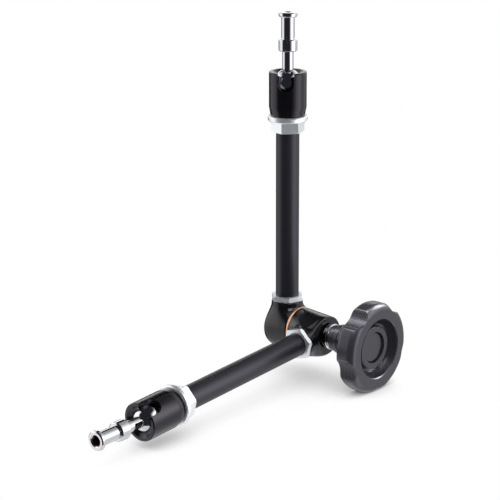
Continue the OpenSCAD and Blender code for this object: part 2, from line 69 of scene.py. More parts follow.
# The arm's own axes, as its joints give them. The elbow's axis runs along +X, the upper arm runs
# along +Z, and the lower arm runs from the elbow towards its spigot.
joints = {joint["name"]: joint for joint in frame["joints"]}
elbow = Vector(joints["arm_pivot"]["pos_m"])
elbow_axis = Vector((1.0, 0.0, 0.0))
lower_ball_centre = Vector(joints["lower_tilt"]["pos_m"])
upper_ball_centre = Vector(joints["upper_tilt"]["pos_m"])
lower_along = -Vector(joints["lower_rod_slide"]["axis"]).normalized()
upper_along = -Vector(joints["upper_rod_slide"]["axis"]).normalized()
lower_spigot_along = Vector(joints["lower_spin"]["axis"]).normalized()
upper_spigot_along = Vector(joints["upper_spin"]["axis"]).normalized()

# Camera
# The photograph was taken a little above the arm, from the side that the lower arm points to, with
# a long lens. Its place was worked out from the arm's round pieces, so it looks past the elbow.
VIEW_AZIMUTH = math.radians(40.587)
VIEW_ELEVATION = math.radians(15.942)
VIEW_ROLL = math.radians(-0.173)
VIEW_DISTANCE = 1551.2 * MM
AIM_RIGHT = -43.55 * MM
AIM_UP = 71.09 * MM
LENS = 129.61
SENSOR = 36.0
FARTHEST_SEEN = 50.0

back = Vector(
    (
        math.sin(VIEW_AZIMUTH) * math.cos(VIEW_ELEVATION),
        -math.cos(VIEW_AZIMUTH) * math.cos(VIEW_ELEVATION),
        math.sin(VIEW_ELEVATION),
    )
)
level_right = Vector((math.cos(VIEW_AZIMUTH), math.sin(VIEW_AZIMUTH), 0.0))
level_up = back.cross(level_right)
camera_right = level_right * math.cos(VIEW_ROLL) + level_up * math.sin(VIEW_ROLL)
camera_up = level_up * math.cos(VIEW_ROLL) - level_right * math.sin(VIEW_ROLL)
aim = elbow + level_right * AIM_RIGHT + Vector((0.0, 0.0, AIM_UP))

camera = bpy.data.objects.new("camera", bpy.data.cameras.new("camera"))
camera.data.lens = LENS
camera.data.sensor_width = SENSOR
camera.data.clip_end = FARTHEST_SEEN
turned_to = Matrix((camera_right, camera_up, back)).transposed().to_4x4()
camera.matrix_world = Matrix.Translation(aim + back * VIEW_DISTANCE) @ turned_to
scene.collection.objects.link(camera)
scene.camera = camera

# Studio
# The arm stands on white paper in a white light that comes from all round it. Its bright steel
# mirrors the room: grey and white screens to both sides and behind the camera, and the dark room
# between them. Soft boxes light the arm, and flagged ones put a sheen on its dark pieces.
PAPER_SIZE = 12.0
PAPER_DROP = 0.1 * MM
PAPER_WHITE = "#FAFAFA"
PAPER_ROUGHNESS = 0.9
SHADE_REACH = 0.4
SHADE_LIFT = 1.5
SHADE_SAMPLES = 16
SCREEN_WHITE = "#FFFFFF"
ROOM_DARK = "#0E0E12"
SCREEN_LIGHT = 5.0
ROUND_LIGHT = 1.27
BACKGROUND_LIGHT = 1.0

# The screens, as the arm's bright pieces mirror them. Each stop is a turn in degrees from the
# camera to its right and a grey. A height is a share of the way from the floor to overhead.
SIDE_SCREENS = (
    (-140, "#000000"),
    (-128, "#A0A0A0"),
    (-84, "#B4B4B4"),
    (-68, "#000000"),
    (30, "#000000"),
    (44, "#8C8C8C"),
    (66, "#F0F0F0"),
    (82, "#F0F0F0"),
    (98, "#9C9C9C"),
    (142, "#8C8C8C"),
    (154, "#000000"),
)
SCREEN_HEIGHTS = (
    (0.19, "#BCBCBC"),
    (0.4, "#BCBCBC"),
    (0.6, "#FFFFFF"),
    (0.7, "#F0F0F0"),
    (0.82, "#C8C8C8"),
    (0.92, "#000000"),
)
SCREEN_SPREAD = 0.14
BACKDROP = ((-120, "#FFFFFF"), (-110, "#000000"), (110, "#000000"), (120, "#FFFFFF"))
BACK_LOW = 0.08
BACK_HIGH = 0.38
BACK_LIGHT = 0.3
UNDER_SCREENS = -0.62
UNDER_LIGHT = 0.17

# Each lamp's place from the elbow, the width of its soft box and its power in watts.
SOFT_BOXES = (
    ("overhead_box", (-0.3, -0.3, 2.2), 1.6, 16.0),
    ("right_box", (1.6, -0.9, 0.9), 1.0, 5.0),
)
DARK_SHEENS = (
    ("overhead_sheen", (-0.2, -0.25, 1.6), 1.2, 9.0),
    ("right_sheen", (1.1, -0.5, 1.05), 0.9, 16.0),
)
KNOB_SHEENS = (
    ("knob_overhead", (-0.3, -0.35, 1.5), 1.2, 34.0),
    ("knob_dish", (0.35, -0.2, 1.5), 1.2, 75.0),
    ("knob_shoulder", (0.44, 1.17, 1.0), 0.8, 34.0),
)


def linear(hex_colour):
    """A colour picker's sRGB value as the linear colour that a shader takes."""
    parts = [int(hex_colour[i : i + 2], 16) / 255 for i in (1, 3, 5)]
    return [p / 12.92 if p <= 0.04045 else ((p + 0.055) / 1.055) ** 2.4 for p in parts] + [1.0]


def add(tree, kind, inputs=(), **settings):
    """Adds a node to a tree, with its settings and what its inputs take: sockets or values."""
    node = tree.nodes.new(kind)
    for key, value in settings.items():
        if hasattr(node, key):
            setattr(node, key, value)
        else:
            node.inputs[key.replace("_", " ")].default_value = value
    for name, value in dict(inputs).items():
        if isinstance(value, bpy.types.NodeSocket):
            tree.links.new(value, node.inputs[name])
        else:
            node.inputs[name].default_value = value
    return node


def fresh_material(name):
    """An empty material and its node tree."""
    material = bpy.data.materials.new(name)
    material.use_nodes = True
    material.node_tree.nodes.clear()
    return material, material.node_tree


# The paper lights the arm from below as a real sheet does. To the camera it is a clear sheet with a
# painted shadow that darkens by the occlusion round the arm, where the arm shades it, so a part that
# swings lower than the paper still shows.
paper, tree = fresh_material("white_paper")
surface = add(
    tree,
    "ShaderNodeBsdfPrincipled",
    Base_Color=linear(PAPER_WHITE),
    Roughness=PAPER_ROUGHNESS,
)
clear = add(tree, "ShaderNodeBsdfTransparent")
# Painted shadow: the camera sees the white behind the sheet darkened by ambient occlusion, not by the
# lamps' own shadows.
shade = add(
    tree, "ShaderNodeAmbientOcclusion", Distance=SHADE_REACH, samples=SHADE_SAMPLES
)
softened = add(
    tree,
    "ShaderNodeMath",
    {0: shade.outputs["AO"], 1: SHADE_LIFT},
    operation="MULTIPLY",
    use_clamp=True,
)
painted_shadow_sheet = add(tree, "ShaderNodeBsdfTransparent", {"Color": softened.outputs[0]})
path = add(tree, "ShaderNodeLightPath")
lit_sheet = add(
    tree,
    "ShaderNodeMixShader",
    {0: path.outputs["Is Shadow Ray"], 1: surface.outputs[0], 2: clear.outputs[0]},
)
seen_sheet = add(
    tree,
    "ShaderNodeMixShader",
    {0: path.outputs["Is Camera Ray"], 1: lit_sheet.outputs[0], 2: painted_shadow_sheet.outputs[0]},
)
add(tree, "ShaderNodeOutputMaterial", {"Surface": seen_sheet.outputs[0]})

floor_z = min(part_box(name)[0].z for name in frame["nodes"]) - PAPER_DROP
half = PAPER_SIZE / 2
sheet_mesh = bpy.data.meshes.new("paper")
corners = [(-half, -half), (half, -half), (half, half), (-half, half)]
sheet_mesh.from_pydata([(elbow.x + x, elbow.y + y, floor_z) for x, y in corners], [], [(0, 1, 2, 3)])
sheet_mesh.materials.append(paper)
floor = bpy.data.objects.new("paper", sheet_mesh)
scene.collection.objects.link(floor)
floor.visible_glossy = False

# The room gives three lights: what the bright pieces mirror, an even light on everything else, and
# the plain white that the camera sees behind the arm.
world = bpy.data.worlds.new("studio")
world.use_nodes = True
world.cycles.sampling_method = "NONE"
scene.world = world
tree = world.node_tree
tree.nodes.clear()


def along(way):
    """How far a ray's direction runs along a way in the room."""
    ray = {0: direction.outputs["Generated"], 1: way}
    return add(tree, "ShaderNodeVectorMath", ray, operation="DOT_PRODUCT").outputs["Value"]


def brightness(place, stops):
    """How bright the screens are, by greys at given places from 0 to 1."""
    ramp = add(tree, "ShaderNodeValToRGB", {"Fac": place})
    elements = ramp.color_ramp.elements
    elements[0].color = linear(stops[0][1])
    elements[1].color = linear(stops[-1][1])
    for stop, colour in stops:
        elements.new(stop).color = linear(colour)
    return ramp.outputs["Color"]


def screens(stops):
    """Screens between the given turns round the arm, in degrees from the camera to its right."""
    turn = add(
        tree, "ShaderNodeMath", {0: along(level_right), 1: along(front)}, operation="ARCTAN2"
    )
    spread = add(
        tree,
        "ShaderNodeMath",
        {0: rise, 1: -SCREEN_SPREAD / math.tau, 2: 1 / math.tau},
        operation="MULTIPLY_ADD",
    )
    place = add(
        tree,
        "ShaderNodeMath",
        {0: turn.outputs[0], 1: spread.outputs[0], 2: 0.5},
        operation="MULTIPLY_ADD",
    )
    return brightness(
        place.outputs[0], [(degrees / 360 + 0.5, colour) for degrees, colour in stops]
    )


front = Vector((back.x, back.y, 0.0)).normalized()
direction = add(tree, "ShaderNodeTexCoord")
rise = along((0.0, 0.0, 1.0))
from_floor = add(tree, "ShaderNodeMath", {0: rise, 1: 0.5, 2: 0.5}, operation="MULTIPLY_ADD")
side_screens = add(
    tree,
    "ShaderNodeMath",
    {0: screens(SIDE_SCREENS), 1: brightness(from_floor.outputs[0], SCREEN_HEIGHTS)},
    operation="MULTIPLY",
)
over_low = add(tree, "ShaderNodeMath", {0: rise, 1: BACK_LOW}, operation="GREATER_THAN")
under_high = add(tree, "ShaderNodeMath", {0: rise, 1: BACK_HIGH}, operation="LESS_THAN")
in_band = add(
    tree,
    "ShaderNodeMath",
    {0: over_low.outputs[0], 1: under_high.outputs[0]},
    operation="MULTIPLY",
)
backdrop = add(
    tree,
    "ShaderNodeMath",
    {0: screens(BACKDROP), 1: in_band.outputs[0]},
    operation="MULTIPLY",
)
back_light = add(
    tree, "ShaderNodeMath", {0: backdrop.outputs[0], 1: BACK_LIGHT}, operation="MULTIPLY"
)
below = add(tree, "ShaderNodeMath", {0: rise, 1: UNDER_SCREENS}, operation="LESS_THAN")
under_light = add(
    tree, "ShaderNodeMath", {0: below.outputs[0], 1: UNDER_LIGHT}, operation="MULTIPLY"
)
side_or_back = add(
    tree,
    "ShaderNodeMath",
    {0: side_screens.outputs[0], 1: back_light.outputs[0]},
    operation="MAXIMUM",
)
lit = add(
    tree,
    "ShaderNodeMath",
    {0: side_or_back.outputs[0], 1: under_light.outputs[0]},
    operation="MAXIMUM",
)
tone = add(tree, "ShaderNodeValToRGB", {"Fac": lit.outputs[0]})
tone.color_ramp.elements[0].color = linear(ROOM_DARK)
tone.color_ramp.elements[1].color = linear(SCREEN_WHITE)
path = add(tree, "ShaderNodeLightPath")
mirrored = add(
    tree, "ShaderNodeBackground", {"Color": tone.outputs["Color"]}, Strength=SCREEN_LIGHT
)
round_light = add(
    tree, "ShaderNodeBackground", Color=linear(SCREEN_WHITE), Strength=ROUND_LIGHT
)
seen = add(
    tree, "ShaderNodeBackground", Color=linear(SCREEN_WHITE), Strength=BACKGROUND_LIGHT
)
not_seen = add(
    tree,
    "ShaderNodeMixShader",
    {0: path.outputs["Is Glossy Ray"], 1: round_light.outputs[0], 2: mirrored.outputs[0]},
)
whole = add(
    tree,
    "ShaderNodeMixShader",
    {0: path.outputs["Is Camera Ray"], 1: not_seen.outputs[0], 2: seen.outputs[0]},
)
add(tree, "ShaderNodeOutputWorld", {"Surface": whole.outputs[0]})


def soft_light(name, place, size, power):
    """A square soft box that faces the elbow and that no polished piece mirrors."""
    lamp = bpy.data.objects.new(name, bpy.data.lights.new(name, "AREA"))
    lamp.data.size = size
    lamp.data.energy = power
    lamp.location = elbow + Vector(place)
    lamp.rotation_mode = "QUATERNION"
    lamp.rotation_quaternion = (-Vector(place)).to_track_quat("-Z", "Y")
    lamp.visible_glossy = False
    scene.collection.objects.link(lamp)
    return lamp


def sheen_light(name, place, size, power, pieces):
    """A soft box whose sheen shows on the given pieces alone, as if flags kept it off the rest."""
    lamp = soft_light(name, place, size, power)
    lamp.visible_glossy = True
    lamp.visible_diffuse = False
    lamp.light_linking.receiver_collection = pieces


dark_pieces = bpy.data.collections.new("dark pieces")
knob_pieces = bpy.data.collections.new("knob pieces")
for lamp in SOFT_BOXES:
    soft_light(*lamp)
for lamp in DARK_SHEENS:
    sheen_light(*lamp, dark_pieces)
for lamp in KNOB_SHEENS:
    sheen_light(*lamp, knob_pieces)
scene.view_settings.view_transform = "Standard"

# Spigots and balls
# Each spigot is turned from steel bar in one piece with its neck and pressed into a steel ball,
# then polished and chromed. Clamps and lamps grip it by its two lands.
CHROME = "#D3D4D6"
CHROME_ROUGHNESS = (0.05, 0.13)
CHROME_RINGS = 0.6 * MM
SAME_POINT = 0.002 * MM
FLAT_ANGLE = math.radians(0.3)
EDGE_ANGLE = math.radians(30)
EDGE_BREAK = 0.15 * MM
EDGE_STEPS = 2
FACE_WEIGHT = 90


def about_axis(tree, along, centre):
    """Places on a turned piece, counted from a point on its axis and with Z along it."""
    place = add(tree, "ShaderNodeTexCoord")
    spun = add(
        tree,
        "ShaderNodeMapping",
        {"Vector": place.outputs["Object"]},
        vector_type="TEXTURE",
        Location=centre,
        Rotation=along.to_track_quat("Z", "Y").to_euler(),
    )
    return spun.outputs[0]


def between(tree, share, limits):
    """A share from 0 to 1 as a value between two limits."""
    spread = add(tree, "ShaderNodeMapRange", {"Value": share}, To_Min=limits[0], To_Max=limits[1])
    return spread.outputs[0]


def coat(tree, inputs=(), **settings):
    """The surface that a material ends in."""
    surface = add(tree, "ShaderNodeBsdfPrincipled", inputs, **settings)
    add(tree, "ShaderNodeOutputMaterial", {"Surface": surface.outputs[0]})


def chromed_steel(name, along, centre):
    """Chrome on polished steel: mirror bright, with the faint rings that turning leaves."""
    material, tree = fresh_material(name)
    station = add(tree, "ShaderNodeSeparateXYZ", {"Vector": about_axis(tree, along, centre)})
    rings = add(
        tree,
        "ShaderNodeTexNoise",
        {"Vector": station.outputs["Z"]},
        Scale=1 / CHROME_RINGS,
        Detail=2.0,
    )
    coat(
        tree,
        {"Roughness": between(tree, rings.outputs[0], CHROME_ROUGHNESS)},
        Base_Color=linear(CHROME),
        Metallic=1.0,
    )
    return material


def finished(node, material, slot, edge=EDGE_BREAK):
    """A solid's own shape in its finish, with its sharp edges broken as a machinist leaves them."""
    shape = bmesh.new()
    shape.from_mesh(frame["nodes"][node].data)
    bmesh.ops.remove_doubles(shape, verts=shape.verts, dist=SAME_POINT)
    bmesh.ops.dissolve_limit(
        shape, angle_limit=FLAT_ANGLE, verts=shape.verts, edges=shape.edges
    )
    for face in shape.faces:
        face.smooth = True
    mesh = bpy.data.meshes.new(node + "_finished")
    shape.to_mesh(mesh)
    shape.free()
    mesh.materials.clear()
    mesh.materials.append(material)
    piece = bpy.data.objects.new(node + "_finished", mesh)
    scene.collection.objects.link(piece)
    rounding = piece.modifiers.new("broken edges", "BEVEL")
    rounding.width = edge
    rounding.segments = EDGE_STEPS
    rounding.limit_method = "ANGLE"
    rounding.angle_limit = EDGE_ANGLE
    facing = piece.modifiers.new("flat faces", "WEIGHTED_NORMAL")
    facing.weight = FACE_WEIGHT
    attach(piece, frame["nodes"][node]["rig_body"])
    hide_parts(node)
    if slot in ("black_anodise", "black_tube", "copper"):
        dark_pieces.objects.link(piece)
    if slot == "knob_plastic":
        knob_pieces.objects.link(piece)
    return piece


lower_chrome = chromed_steel("chromed_steel_lower_spigot", lower_spigot_along, lower_ball_centre)
upper_chrome = chromed_steel("chromed_steel_upper_spigot", upper_spigot_along, upper_ball_centre)
for node, chrome in (
    ("lower_stud", lower_chrome),
    ("lower_ball", lower_chrome),
    ("upper_stud", upper_chrome),
    ("upper_ball", upper_chrome),
):
    finished(node, chrome, "polished_steel")

# Threads in the spigots
# Each spigot has a hole in its tip for a camera screw or a stud: a coarse thread below and a finer one
# above. They are cut with a tap after the plating, and their bare steel is coloured dark brown as
# painted shade, for the shade deep inside the holes.
# The dark brown is painted shade: it stands for the shade inside the tapped holes.
THREAD_PAINTED_SHADE = "#6B4C3C"
CUT_STEEL_ROUGHNESS = 0.42
ROUGHNESS_SPREAD = 0.08
SCRATCH_SIZE = 0.4 * MM
SPIGOT_REACH = 59.9 * MM
THREAD_START = 1.2 * MM
LOWER_BORE_R = 4.25 * MM
UPPER_BORE_R = 2.75 * MM
LOWER_PITCH = 1.59 * MM
UPPER_PITCH = 1.27 * MM
TURNS = 6.0
CREST_SHARE = 0.58
ROOT_SHARE = 0.2
POINTS_PER_TURN = 36
CREST_SIDES = 8


def grain(tree, size, detail):
    """Soft random patches of a given size, fixed to the piece."""
    place = add(tree, "ShaderNodeTexCoord")
    patches = add(
        tree,
        "ShaderNodeTexNoise",
        {"Vector": place.outputs["Object"]},
        Scale=1 / size,
        Detail=detail,
    )
    return patches.outputs[0]


def machined(name, colour, roughness):
    """Bare machined metal: a cutter's fine scratches, slightly dulled by oil."""
    material, tree = fresh_material(name)
    limits = (roughness - ROUGHNESS_SPREAD, roughness + ROUGHNESS_SPREAD)
    coat(
        tree,
        {"Roughness": between(tree, grain(tree, SCRATCH_SIZE, 4.0), limits)},
        Base_Color=linear(colour),
        Metallic=1.0,
    )
    return material


def made_by(name, tree, sizes, material, place, body):
    """What a node tree makes from the given sizes, as a plain mesh that rides in its place."""
    blank = bpy.data.objects.new(name, bpy.data.meshes.new(name))
    scene.collection.objects.link(blank)
    maker = blank.modifiers.new("maker", "NODES")
    maker.node_group = tree
    for socket in tree.interface.items_tree:
        if socket.in_out == "INPUT":
            maker[socket.identifier] = sizes[socket.name]
    ready = blank.evaluated_get(bpy.context.evaluated_depsgraph_get())
    mesh = bpy.data.meshes.new_from_object(ready)
    blank.modifiers.clear()
    blank.data = mesh
    mesh.transform(place)
    mesh.materials.clear()
    mesh.materials.append(material)
    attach(blank, body)
    return blank


def size_inputs(tree, sizes):
    """Adds named size inputs and a geometry output, and returns the tree's entry and its way out."""
    for name, kind in sizes:
        tree.interface.new_socket(name, in_out="INPUT", socket_type=kind)
    tree.interface.new_socket("Geometry", in_out="OUTPUT", socket_type="NodeSocketGeometry")
    return add(tree, "NodeGroupInput").outputs, add(tree, "NodeGroupOutput").inputs[0]


thread_steel_painted_shade = machined("thread_steel_painted_shade", THREAD_PAINTED_SHADE, CUT_STEEL_ROUGHNESS)
thread = bpy.data.node_groups.new("tapped_thread", "GeometryNodeTree")
sizes, way_out = size_inputs(
    thread,
    (
        ("Bore radius", "NodeSocketFloat"),
        ("Turns", "NodeSocketFloat"),
        ("Length", "NodeSocketFloat"),
        ("Crest", "NodeSocketFloat"),
    ),
)
helix = add(
    thread,
    "GeometryNodeCurveSpiral",
    {
        "Rotations": sizes["Turns"],
        "Start Radius": sizes["Bore radius"],
        "End Radius": sizes["Bore radius"],
        "Height": sizes["Length"],
    },
    Resolution=POINTS_PER_TURN,
)
crest = add(
    thread,
    "GeometryNodeCurvePrimitiveCircle",
    {"Radius": sizes["Crest"]},
    Resolution=CREST_SIDES,
)
ridge = add(
    thread,
    "GeometryNodeCurveToMesh",
    {"Curve": helix.outputs[0], "Profile Curve": crest.outputs[0]},
    Fill_Caps=True,
)
whole = add(thread, "GeometryNodeRealizeInstances", {"Geometry": ridge.outputs[0]})
coated = add(thread, "GeometryNodeSetMaterial", {"Geometry": whole.outputs[0]}, Material=thread_steel_painted_shade)
thread.links.new(coated.outputs[0], way_out)

for name, centre, way, bore, pitch, stud in (
    ("lower_thread", lower_ball_centre, lower_spigot_along, LOWER_BORE_R, LOWER_PITCH, "lower_stud"),
    ("upper_thread", upper_ball_centre, upper_spigot_along, UPPER_BORE_R, UPPER_PITCH, "upper_stud"),
):
    inward = Matrix.Translation(centre + way * (SPIGOT_REACH - THREAD_START)) @ (
        -way
    ).to_track_quat("Z", "Y").to_matrix().to_4x4()
    made_by(
        name,
        thread,
        {
            "Bore radius": bore + ROOT_SHARE * pitch,
            "Turns": TURNS,
            "Length": TURNS * pitch,
            "Crest": CREST_SHARE * pitch,
        },
        thread_steel_painted_shade,
        inward,
        frame["nodes"][stud]["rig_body"],
    )

# Nuts and washers
# The hexagon nuts are turned from steel bar and zinc plated. The flange nuts screw into the ball
# housings, and the jam nuts lock the tubes in the elbow. The two washers behind the knob are
# stamped from steel, ground and chromed.
ZINC_TONES = ("#E4E9ED", "#F2F4F6")
ZINC_ROUGHNESS = (0.32, 0.44)
ZINC_METALLIC = 0.9
ZINC_CLOUD = 2.5 * MM
NUT_EDGE = 0.25 * MM


def bright_zinc(name):
    """Clear zinc plate on machined steel: a pale, slightly cloudy shine that blurs what it mirrors."""
    material, tree = fresh_material(name)
    cloud = grain(tree, ZINC_CLOUD, 4.0)
    tone = add(tree, "ShaderNodeValToRGB", {"Fac": cloud})
    tone.color_ramp.elements[0].color = linear(ZINC_TONES[0])
    tone.color_ramp.elements[1].color = linear(ZINC_TONES[1])
    coat(
        tree,
        {"Base Color": tone.outputs[0], "Roughness": between(tree, cloud, ZINC_ROUGHNESS)},
        Metallic=ZINC_METALLIC,
    )
    return material


zinc = bright_zinc("clear_zinc_plate")
for node in ("lower_flange_nut", "lower_jam_nut", "upper_flange_nut", "upper_jam_nut"):
    finished(node, zinc, "polished_steel", NUT_EDGE)
for node in ("thrust_washer", "spring_washer"):
    finished(node, lower_chrome, "polished_steel")

# Ball housings
# The two housings are turned from aluminium bar, slotted with an end mill and anodised black. Each
# screws onto its flange nut and keeps its ball in behind the lip of its mouth.
ANODISED_BLACK = "#070709"
ANODISED_SHEEN = "#E9E0F0"
ANODISED_ROUGHNESS = (0.14, 0.22)
ANODISED_GRAIN = 0.5 * MM
RING_WIDTH = 0.35 * MM
RING_DEPTH = 0.05 * MM
RING_STRENGTH = 0.6
ACROSS_AXIS = (1.0, 1.0, 0.0)
HOUSING_EDGE = 0.3 * MM


def relief(tree, height, depth, strength):
    """Tiny hills and hollows in a surface."""
    bump = add(tree, "ShaderNodeBump", {"Height": height}, Strength=strength, Distance=depth)
    return bump.outputs[0]


def black_anodised(name, along, centre):
    """Black anodised aluminium: smooth, dark and half gloss, with fine rings from the turning."""
    material, tree = fresh_material(name)
    flat = add(
        tree,
        "ShaderNodeVectorMath",
        {0: about_axis(tree, along, centre), 1: ACROSS_AXIS},
        operation="MULTIPLY",
    )
    reach = add(tree, "ShaderNodeVectorMath", {0: flat.outputs[0]}, operation="LENGTH")
    rings = add(
        tree,
        "ShaderNodeTexNoise",
        {"W": reach.outputs["Value"]},
        noise_dimensions="1D",
        Scale=1 / RING_WIDTH,
        Detail=1.0,
    )
    coat(
        tree,
        {
            "Roughness": between(tree, grain(tree, ANODISED_GRAIN, 3.0), ANODISED_ROUGHNESS),
            "Normal": relief(tree, rings.outputs[0], RING_DEPTH, RING_STRENGTH),
        },
        Base_Color=linear(ANODISED_BLACK),
        Specular_Tint=linear(ANODISED_SHEEN),
    )
    return material


lower_anodised = black_anodised("black_anodised_lower", lower_along, elbow)
upper_anodised = black_anodised("black_anodised_upper", upper_along, elbow)
finished("lower_housing", lower_anodised, "black_anodise", HOUSING_EDGE)
finished("upper_housing", upper_anodised, "black_anodise", HOUSING_EDGE)

# Tubes
# The two tubes are drawn from aluminium, threaded at both ends and powder coated satin black. One
# end screws into a flange nut, and the other into the neck of an elbow's casting.
POWDER_BLACK = "#121116"
POWDER_SHEEN = "#F1EEFF"
POWDER_ROUGHNESS = 0.4
PEEL_SIZE = 0.9 * MM
PEEL_DEPTH = 0.02 * MM
PEEL_STRENGTH = 0.25


def satin_powder(name):
    """Satin black powder coat: an even skin with the shallow orange peel of melted powder."""
    material, tree = fresh_material(name)
    coat(
        tree,
        {"Normal": relief(tree, grain(tree, PEEL_SIZE, 2.0), PEEL_DEPTH, PEEL_STRENGTH)},
        Base_Color=linear(POWDER_BLACK),
        Roughness=POWDER_ROUGHNESS,
        Specular_Tint=linear(POWDER_SHEEN),
    )
    return material


tube_skin = satin_powder("satin_powder_coat")
for node in ("lower_tube", "upper_tube"):
    finished(node, tube_skin, "black_tube")

# Elbows
# The two halves of the elbow are cast in aluminium, each with a neck for its tube, and sprayed
# glossy black. The faces that meet the washers are machined after the paint, and the bolt through
# their middle pulls them together.
ENAMEL_BLACK = "#0A0A0B"
ENAMEL_SHEEN = "#F7F4FF"
ENAMEL_ROUGHNESS = 0.2
ENAMEL_IOR = 1.42
WAVE_SIZE = 3.0 * MM
WAVE_DEPTH = 0.05 * MM
WAVE_STRENGTH = 0.3


def gloss_enamel(name):
    """Gloss black enamel on a casting: wet looking, with a very slight waviness."""
    material, tree = fresh_material(name)
    coat(
        tree,
        {"Normal": relief(tree, grain(tree, WAVE_SIZE, 1.0), WAVE_DEPTH, WAVE_STRENGTH)},
        Base_Color=linear(ENAMEL_BLACK),
        Roughness=ENAMEL_ROUGHNESS,
        IOR=ENAMEL_IOR,
        Specular_Tint=linear(ENAMEL_SHEEN),
    )
    return material


# The smoothing that lets a neck flow into its body, and where the machined faces lie.
GRAIN_OF_MESH = 0.55 * MM
BLEND_PASSES = 110
BLEND_STEP = 0.5
CRISP_REACH = 0.9 * MM
BLEND_RUN = 3.0 * MM
LEAST_EASE = 0.03
LOWER_NECK = 27.0 * MM
UPPER_NECK = 24.0 * MM
SPOT_FACE_R = 16.2 * MM
SLEEVE_PROUD = 1.5 * MM


def casting(node, faces, wall_station=math.inf):
    """A casting's solid, whose neck flows into its body, with its machined faces left crisp.

    Each face is given by its way, how far out it lies and its radius. From wall_station on, the
    wall round the spot face stays crisp as well.
    """
    rough = bmesh.new()
    rough.from_mesh(frame["nodes"][node].data)
    bmesh.ops.remove_doubles(rough, verts=rough.verts, dist=SAME_POINT)
    mesh = bpy.data.meshes.new(node + "_casting")
    rough.to_mesh(mesh)
    rough.free()
    piece = bpy.data.objects.new(node + "_casting", mesh)
    scene.collection.objects.link(piece)
    even = piece.modifiers.new("even mesh", "REMESH")
    even.mode = "VOXEL"
    even.voxel_size = GRAIN_OF_MESH
    ready = piece.evaluated_get(bpy.context.evaluated_depsgraph_get())
    mesh = bpy.data.meshes.new_from_object(ready)
    piece.modifiers.clear()
    piece.data = mesh
    points = np.empty(len(mesh.vertices) * 3)
    mesh.vertices.foreach_get("co", points)
    points = points.reshape(-1, 3)
    out = points - np.array(elbow)
    away = np.full(len(points), np.inf)
    for way, station, radius in faces:
        depth = out @ np.array(way)
        reach = np.linalg.norm(out - depth[:, None] * np.array(way), axis=1)
        away = np.minimum(away, np.hypot(depth - station, np.maximum(reach - radius, 0.0)))
    reach = np.hypot(out[:, 1], out[:, 2])
    wall = np.hypot(np.maximum(wall_station - out[:, 0], 0.0), reach - SPOT_FACE_R)
    away = np.minimum(away, wall)
    ease = np.clip((away - CRISP_REACH) / BLEND_RUN, LEAST_EASE, 1.0)[:, None]
    pairs = np.empty(len(mesh.edges) * 2, dtype=np.int64)
    mesh.edges.foreach_get("vertices", pairs)
    pairs = pairs.reshape(-1, 2)
    count = np.bincount(pairs.ravel(), minlength=len(points))[:, None]
    for _ in range(BLEND_PASSES):
        total = np.zeros_like(points)
        np.add.at(total, pairs[:, 0], points[pairs[:, 1]])
        np.add.at(total, pairs[:, 1], points[pairs[:, 0]])
        points += (total / count - points) * (BLEND_STEP * ease)
    mesh.vertices.foreach_set("co", points.ravel())
    mesh.shade_smooth()
    mesh.materials.clear()
    mesh.materials.append(enamel)
    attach(piece, frame["nodes"][node]["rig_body"])
    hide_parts(node)
    dark_pieces.objects.link(piece)


enamel = gloss_enamel("gloss_black_enamel")
washer_low, washer_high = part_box("friction_washer")
elbow_r = (washer_high.z - washer_low.z) / 2
lower_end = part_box("thrust_washer")[0].x - SLEEVE_PROUD - elbow.x
casting(
    "lower_elbow",
    (
        (elbow_axis, washer_high.x - elbow.x, elbow_r),
        (elbow_axis, lower_end, SPOT_FACE_R),
        (lower_along, LOWER_NECK, math.inf),
    ),
    lower_end,
)
casting(
    "upper_elbow",
    (
        (elbow_axis, washer_low.x - elbow.x, elbow_r),
        (upper_along, UPPER_NECK, math.inf),
    ),
)

# Friction washer
# The washer between the two castings is stamped from copper sheet, lapped flat and left bare. The
# castings press on it from both sides, so the elbow turns smoothly and stays where it is put.
COPPER_TONES = ("#F0A878", "#FFCFAE")
COPPER_ROUGHNESS = 0.4
COPPER_METALLIC = 0.85
TARNISH_SIZE = 4.0 * MM


def bare_copper(name):
    """Bare copper: a warm pink shine that has tarnished darker in patches."""
    material, tree = fresh_material(name)
    tone = add(tree, "ShaderNodeValToRGB", {"Fac": grain(tree, TARNISH_SIZE, 4.0)})
    tone.color_ramp.elements[0].color = linear(COPPER_TONES[0])
    tone.color_ramp.elements[1].color = linear(COPPER_TONES[1])
    coat(
        tree,
        {"Base Color": tone.outputs[0]},
        Metallic=COPPER_METALLIC,
        Roughness=COPPER_ROUGHNESS,
    )
    return material


finished("friction_washer", bare_copper("bare_copper"), "copper")

# Inner steel and bronze
# The bolt, its two cones, the stop nut and the push rods are machined steel, left bright and oiled.
# The ball seats and the knob's insert are machined bronze. The knob pulls the bolt, its cones push
# the rods apart, and the rods press the seats on the balls.
BRIGHT_STEEL = "#A9A8A6"
BRIGHT_STEEL_ROUGHNESS = 0.3
BRONZE = "#B08A4C"
BRONZE_ROUGHNESS = 0.34

bright_steel = machined("machined_steel", BRIGHT_STEEL, BRIGHT_STEEL_ROUGHNESS)
bronze = machined("machined_bronze", BRONZE, BRONZE_ROUGHNESS)
for node in (
    "lower_push_rod",
    "upper_push_rod",
    "draw_bolt",
    "upper_wedge",
    "lower_wedge",
    "stop_nut",
):
    finished(node, bright_steel, "plain_steel")
for node in ("lower_ball_seat", "upper_ball_seat", "knob_insert"):
    finished(node, bronze, "bronze")

# Knob
# The knob is moulded in glass filled nylon round its insert and screws onto the bolt. Its rim has
# five scallops for the fingers, and the cutter that made the mould has left its lines in them. The
# face is dished, and a cap closes the middle.
NYLON_GREY = "#232327"
NYLON_SHEEN = "#F1EEFF"
NYLON_ROUGHNESS = 0.29
NYLON_IOR = 1.56
NYLON_GRAIN = 0.35 * MM
NYLON_GRAIN_DEPTH = 0.02 * MM
NYLON_GRAIN_STRENGTH = 0.3
KNOB_EDGE = 0.5 * MM
CAP_EDGE = 0.3 * MM


